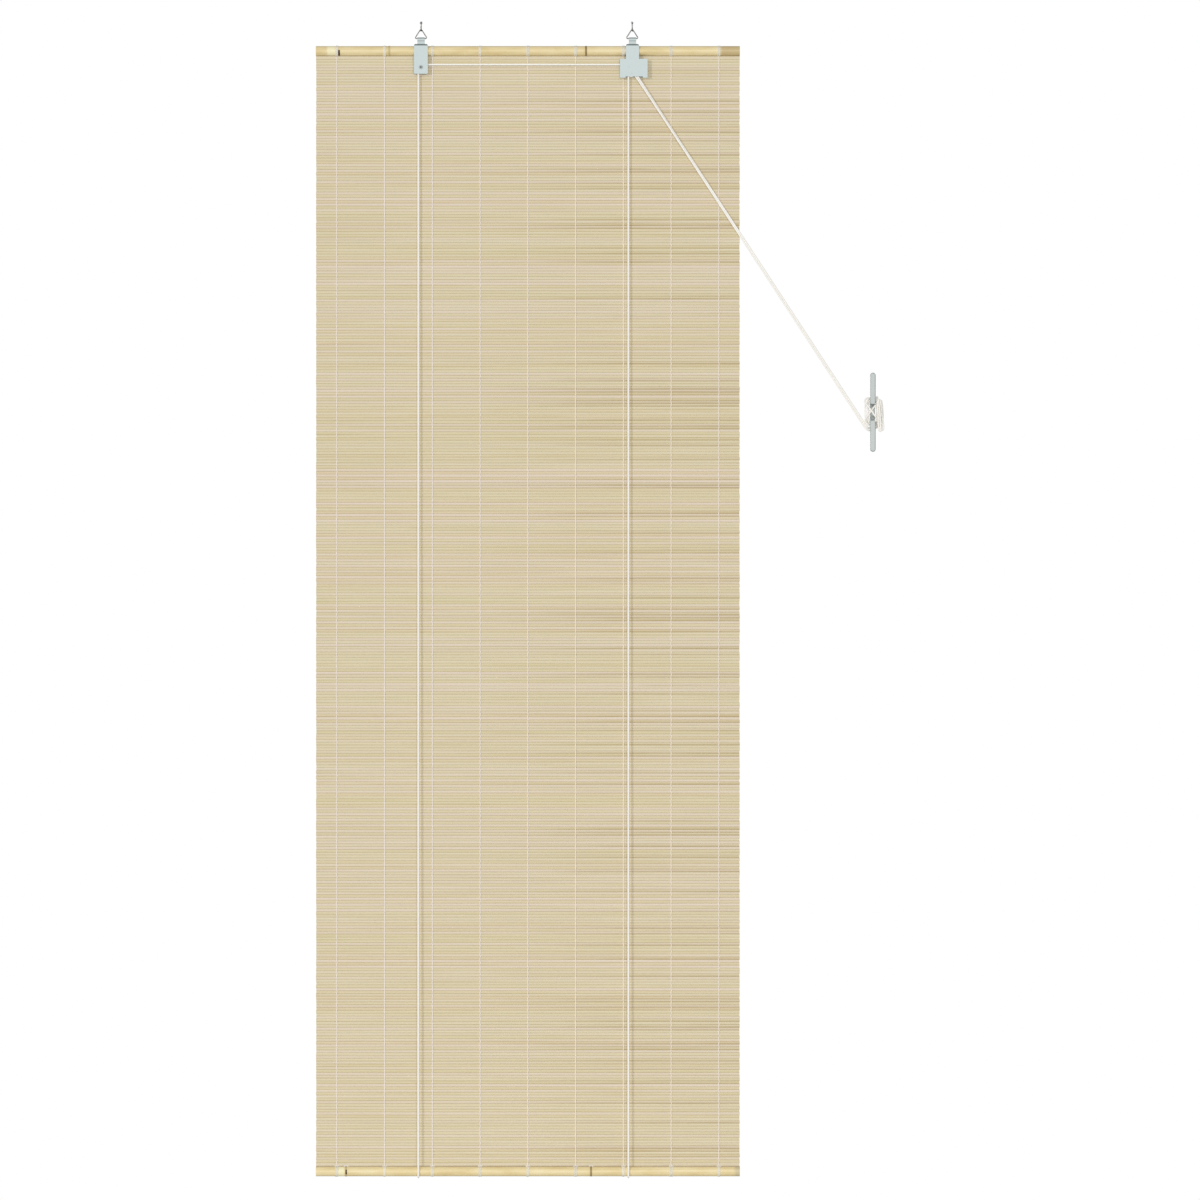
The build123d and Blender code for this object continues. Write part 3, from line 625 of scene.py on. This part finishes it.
# Cords
# Two braided white cords. Each is knotted at the back of its bracket, runs down behind the blind, under the
# bottom rod and up the front, over its pulley and across to the cleat.
cord_radius = 0.00125
braid_step = 0.0036
braid = Finish("white_braid")
braid.set(Roughness=0.72)
lay = braid.add("ShaderNodeUVMap").outputs["UV"]
lay_axes = braid.add("ShaderNodeSeparateXYZ")
braid.join(lay, lay_axes.inputs[0])
along = braid.math("MULTIPLY", lay_axes.outputs["X"], 2 * pi)
strands_each_way = 4
turned = braid.math("MULTIPLY", lay_axes.outputs["Y"], strands_each_way * 2 * pi)
one_way = braid.math("SINE", braid.math("ADD", along, turned))
other_way = braid.math("SINE", braid.math("SUBTRACT", along, turned))
plait = braid.math("MULTIPLY_ADD", braid.math("MAXIMUM", one_way, other_way), 0.5, 0.5)
fuzz = braid.noise(braid.sized((2600, 2600, 2600)), 1.0, 3.0)
braid.join(
    braid.ramp(
        braid.math("MULTIPLY_ADD", plait, 0.75, braid.math("MULTIPLY", fuzz, 0.25)),
        (0.05, linear(228, 225, 218)),
        (0.5, linear(254, 251, 244)),
    ),
    braid.shader.inputs["Base Color"],
)
braid.bump(plait, 0.00012)


def spline_of(name, route):
    """A smooth curve with the route's points as its control points."""
    curve = bpy.data.curves.new(name, "CURVE")
    curve.dimensions = "3D"
    spline = curve.splines.new("NURBS")
    spline.points.add(len(route) - 1)
    for point, place in zip(spline.points, route):
        point.co = (*place, 1)
    spline.order_u = 3
    spline.use_endpoint_u = True
    curve.resolution_u = 10
    return curve


def cord_mesh(name, route, sides=3):
    """The round cord along a route as a mesh with its braid's UV map, and the points down its middle."""
    curve = spline_of(name, route)
    holder = bpy.data.objects.new(name, curve)
    bare = bpy.data.meshes.new_from_object(holder)
    middle = [v.co.copy() for v in bare.vertices]
    length = sum((b - a).length for a, b in zip(middle, middle[1:]))
    curve.bevel_depth = cord_radius
    curve.bevel_resolution = sides
    curve.use_fill_caps = True
    mesh = bpy.data.meshes.new_from_object(holder)
    bpy.data.objects.remove(holder)
    for corner in mesh.uv_layers[0].data:
        corner.uv = (corner.uv.x * length / braid_step, corner.uv.y)
    mesh.name = name
    mesh.shade_smooth()
    mesh.set_sharp_from_angle(angle=radians(60))
    return mesh, middle, length


wheel_z = (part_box("left_pulley")[0].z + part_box("left_pulley")[1].z) / 2
lift_wheel_z = (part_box("lift_pulley")[0].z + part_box("lift_pulley")[1].z) / 2
cord_y = (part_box("left_pulley")[0].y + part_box("left_pulley")[1].y) / 2
left_cord_x = (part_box("left_front_cord")[0].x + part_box("left_front_cord")[1].x) / 2
right_cord_x = (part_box("right_front_cord")[0].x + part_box("right_front_cord")[1].x) / 2
bight_off = 0.00855  # the turns under the bottom rod and the runs there, from the rod's axis
bight_drop = 0.0040
bight_corner = 0.0057
back_off = 0.0044  # the top of a back run, from the rod's axis
knot_z = (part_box("left_anchor_knot")[0].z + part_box("left_anchor_knot")[1].z) / 2

# The right cord's turn over the lower pulley.
turn_low, turn_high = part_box("lift_pulley_cord")
turn_route = [
    (right_cord_x, cord_y, lift_wheel_z),
    (right_cord_x, cord_y, lift_wheel_z + 0.0030),
    (right_cord_x + 0.0022, cord_y, lift_wheel_z + 0.0040),
    (right_cord_x + 0.0053, cord_y, lift_wheel_z + 0.0040),
    (right_cord_x + 0.0070, cord_y, lift_wheel_z + 0.0017),
    (turn_high.x - 0.0011, cord_y, turn_low.z + 0.0007),
]
turn_mesh, _, _ = cord_mesh("lift_turn", turn_route)
turn = new_piece("lift_turn", turn_mesh, "headrail", "lift_pulley_cord", "lift_pulley_cord", finish=braid)

# The turn of cord under the bottom rod, the runs in front of the mat and behind it, and the knot on the tab.
knot_steps = 24
knot_spread = 0.000992
knot_rise = 0.0012
knot_lift = 0.0002
for side, x, top_z in (("left", left_cord_x, wheel_z), ("right", right_cord_x, lift_wheel_z)):
    sling_mesh, _, _ = cord_mesh(
        f"{side}_sling",
        [
            (x, rod_y - bight_off, bottom_rod_z),
            (x, rod_y - bight_off, bottom_rod_z - bight_drop),
            (x, rod_y - bight_corner, bottom_rod_z - bight_off),
            (x, rod_y + bight_corner, bottom_rod_z - bight_off),
            (x, rod_y + bight_off, bottom_rod_z - bight_drop),
            (x, rod_y + bight_off, bottom_rod_z),
        ],
    )
    sling = new_piece(
        f"{side}_sling", sling_mesh, "cord_slings", f"{side}_cord_bight", f"{side}_cord_bight", finish=braid
    )
    front_middle = (x, (cord_y + rod_y - bight_off) / 2, (top_z + bottom_rod_z) / 2)
    front_mesh, front_path, front_length = cord_mesh(
        f"{side}_front_run", [(x, cord_y, top_z), front_middle, (x, rod_y - bight_off, bottom_rod_z)]
    )
    front = new_piece(
        f"{side}_front_run", front_mesh, "headrail", f"{side}_front_cord", f"{side}_front_cord", finish=braid
    )
    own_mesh(front)
    back_middle = (x, rod_y + (back_off + bight_off) / 2, (knot_z + bottom_rod_z) / 2)
    back_mesh, back_path, back_length = cord_mesh(
        f"{side}_back_run", [(x, rod_y + back_off, knot_z), back_middle, (x, rod_y + bight_off, bottom_rod_z)]
    )
    back = new_piece(
        f"{side}_back_run", back_mesh, "headrail", f"{side}_back_cord", f"{side}_back_cord", finish=braid
    )
    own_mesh(back)
    knot_route = []
    for step in range(knot_steps + 1):
        t = 2 * pi * step / knot_steps
        knot_route.append((
            x + knot_spread * (sin(t) + 2 * sin(2 * t)),
            rod_y + back_off + knot_spread * (cos(t) - 2 * cos(2 * t)),
            knot_z - knot_rise * sin(3 * t) + knot_lift,
        ))
    knot_mesh, _, _ = cord_mesh(f"{side}_knot", knot_route)
    knot = new_piece(
        f"{side}_knot", knot_mesh, "headrail", f"{side}_anchor_knot", f"{side}_anchor_knot", finish=braid
    )

# The header cord, over the left pulley, across the mat and over the upper pulley in the right bracket.
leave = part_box("header_cord")[0].z + 0.0007
over_z = wheel_z + 0.0037
header_route = [
    (left_cord_x, cord_y, wheel_z),
    (left_cord_x, cord_y, over_z - 0.0004),
    (left_cord_x + 0.0042, cord_y, over_z),
    (-0.1300, cord_y, over_z),
    (0.1300, cord_y, over_z),
    (0.1432, cord_y, over_z),
    (0.1466, cord_y, over_z),
    (0.1484, cord_y, over_z - 0.0028),
    (0.15948, cord_y, leave),
]
header_mesh, header_path, header_length = cord_mesh("header_run", header_route)
header = new_piece("header_run", header_mesh, "headrail", "header_cord", "header_cord", finish=braid)

# The pair of pull cords, taut from the right bracket to the lower half of the cleat.
cleat_low, cleat_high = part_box("cleat")
cleat_x = (cleat_low.x + cleat_high.x) / 2
cleat_z = (cleat_low.z + cleat_high.z) / 2


def at_cleat(x, off_wall, z):
    """A point in millimetres from the cleat's middle, as a place in the row frame."""
    return (cleat_x + x / 1000, -off_wall / 1000, cleat_z + z / 1000)


pull_ends = {"lift": at_cleat(-11.2, 12.6, -21.0), "header": at_cleat(-9.07, 12.6, -19.6)}
pull_starts = {"lift": turn_route[-1], "header": header_route[-1]}
# Below the bracket the lift cord lies in front of the header cord. From the mat's edge on, they lie side by
# side.
together_share = 0.03
mat_edge_share = 0.47
together = (Vector(pull_starts["lift"]) + Vector(pull_starts["header"])) / 2
for name, side in (("lift", -1), ("header", 1)):
    start = Vector(pull_starts[name])
    end = Vector(pull_ends[name])
    towards = (together - start) * 0.7 + Vector((0, side * cord_radius, 0))
    pull_mesh, pull_path, pull_length = cord_mesh(
        f"{name}_pull_run",
        [start, start.lerp(end, together_share) + towards, start.lerp(end, mat_edge_share), end],
    )
    # More corners along the cord, so that it bends at the mat's edge when the blind swings.
    pull_form = bmesh.new()
    pull_form.from_mesh(pull_mesh)
    lengthwise = [e for e in pull_form.edges if e.calc_length() > 0.02]
    bmesh.ops.subdivide_edges(pull_form, edges=lengthwise, cuts=5)
    pull_form.to_mesh(pull_mesh)
    pull_form.free()
    pull_mesh.shade_smooth()
    pull_mesh.set_sharp_from_angle(angle=radians(60))
    stands_for = f"{name}_pull_cord"
    pull = new_piece(f"{name}_pull_run", pull_mesh, None, stands_for, stands_for, finish=braid)
    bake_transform(pull)

# Cleat
# A strip of cast zinc with its base on the wall and a long horn above and below. Two screws hold it, and the
# cords are wound round it behind the horns.
cast = Finish("cast_zinc")
cast.set(Metallic=0.3)
skin_grain = cast.noise(cast.sized((500, 500, 500)), 1.0, 4.0)
cast_zinc = cast.ramp(skin_grain, (0.3, linear(169, 176, 174)), (0.7, linear(189, 195, 193)))
cast.join(cast_zinc, cast.shader.inputs["Base Color"])
cast.join(cast.ramp(skin_grain, (0.3, 0.42), (0.7, 0.56)), cast.shader.inputs["Roughness"])
cast.bump(cast.noise(cast.sized((1400, 1400, 1400)), 1.0, 3.0), 0.00004)
dress("cleat", cast)

# Winding and tail
# The lift cord takes a round turn and a figure of eight on the cleat, and the header cord takes two round
# turns. What is left of each hangs on the right as one short loop, its end tucked behind the upper horn.
lift_wound = [
    (-11.2, 12.6, -21.0), (-9.7, 12.6, -23.3), (-5.0, 11.6, -26.0), (1.0, 9.6, -24.0),
    (8.0, 8.0, -20.5), (9.8, 5.6, -9.0), (9.4, 4.4, 6.0), (6.5, 4.2, 18.5), (-3.5, 4.2, 19.0),
    (-10.0, 4.8, 13.5), (-10.4, 5.2, 0.0), (-8.8, 4.6, -14.5), (-1.0, 4.6, -18.0), (7.0, 6.6, -18.0),
    (10.6, 12.0, -14.5), (3.4, 15.6, -5.4), (-6.2, 15.6, 8.4), (-12.6, 13.2, 14.8), (-8.8, 10.6, 20.6),
    (0.0, 9.4, 19.6), (6.6, 10.4, 18.8), (7.4, 12.4, 14.0), (2.4, 12.9, 8.2), (-6.6, 12.9, -3.8),
    (-12.2, 12.4, -11.2), (-7.0, 12.2, -18.0), (0.5, 12.4, -19.6), (8.5, 11.6, -19.5),
    (13.6, 11.0, -10.0), (13.2, 11.0, 4.0), (10.8, 12.0, 16.0), (8.6, 16.2, 19.0), (8.6, 16.8, 9.0),
    (10.4, 16.4, -6.0), (12.6, 16.2, -19.0), (12.4, 17.4, -27.0), (8.2, 18.2, -26.0),
    (7.6, 18.4, -14.0), (7.2, 18.2, 0.0), (6.2, 17.8, 11.0), (5.6, 14.6, 18.0), (4.2, 12.6, 20.5),
]
header_wound = [
    (-9.07, 12.6, -19.6), (-8.0, 12.5, -21.4), (-4.6, 9.4, -22.4), (0.0, 7.0, -20.4), (5.2, 7.0, -18.0),
    (6.6, 8.0, -8.0), (6.6, 7.8, 9.0), (4.4, 7.0, 18.0), (-3.4, 6.9, 18.4), (-6.8, 7.6, 12.0),
    (-6.8, 8.0, -2.0), (-6.0, 8.8, -15.0), (-1.0, 8.9, -17.9), (8.0, 8.8, -21.4), (14.4, 9.0, -13.0),
    (14.2, 10.2, 2.0), (12.6, 12.4, 15.0), (11.0, 16.0, 17.5), (11.6, 16.2, 8.0), (13.2, 15.9, -6.0),
    (14.9, 15.8, -17.0), (14.8, 17.0, -25.5), (11.0, 18.9, -24.5), (10.6, 18.9, -13.0),
    (10.0, 18.8, 0.0), (8.8, 18.4, 11.0), (7.8, 14.8, 19.5), (5.4, 12.8, 22.5),
]
for name, route, node in (
    ("lift_winding", lift_wound, "cleat_winding"),
    ("header_winding", header_wound, "cord_tail"),
):
    places = [at_cleat(*point) for point in route]
    wound_mesh, wound_path, wound_length = cord_mesh(name, places)
    wound = new_piece(name, wound_mesh, "wall_fixings", node, node, finish=braid)
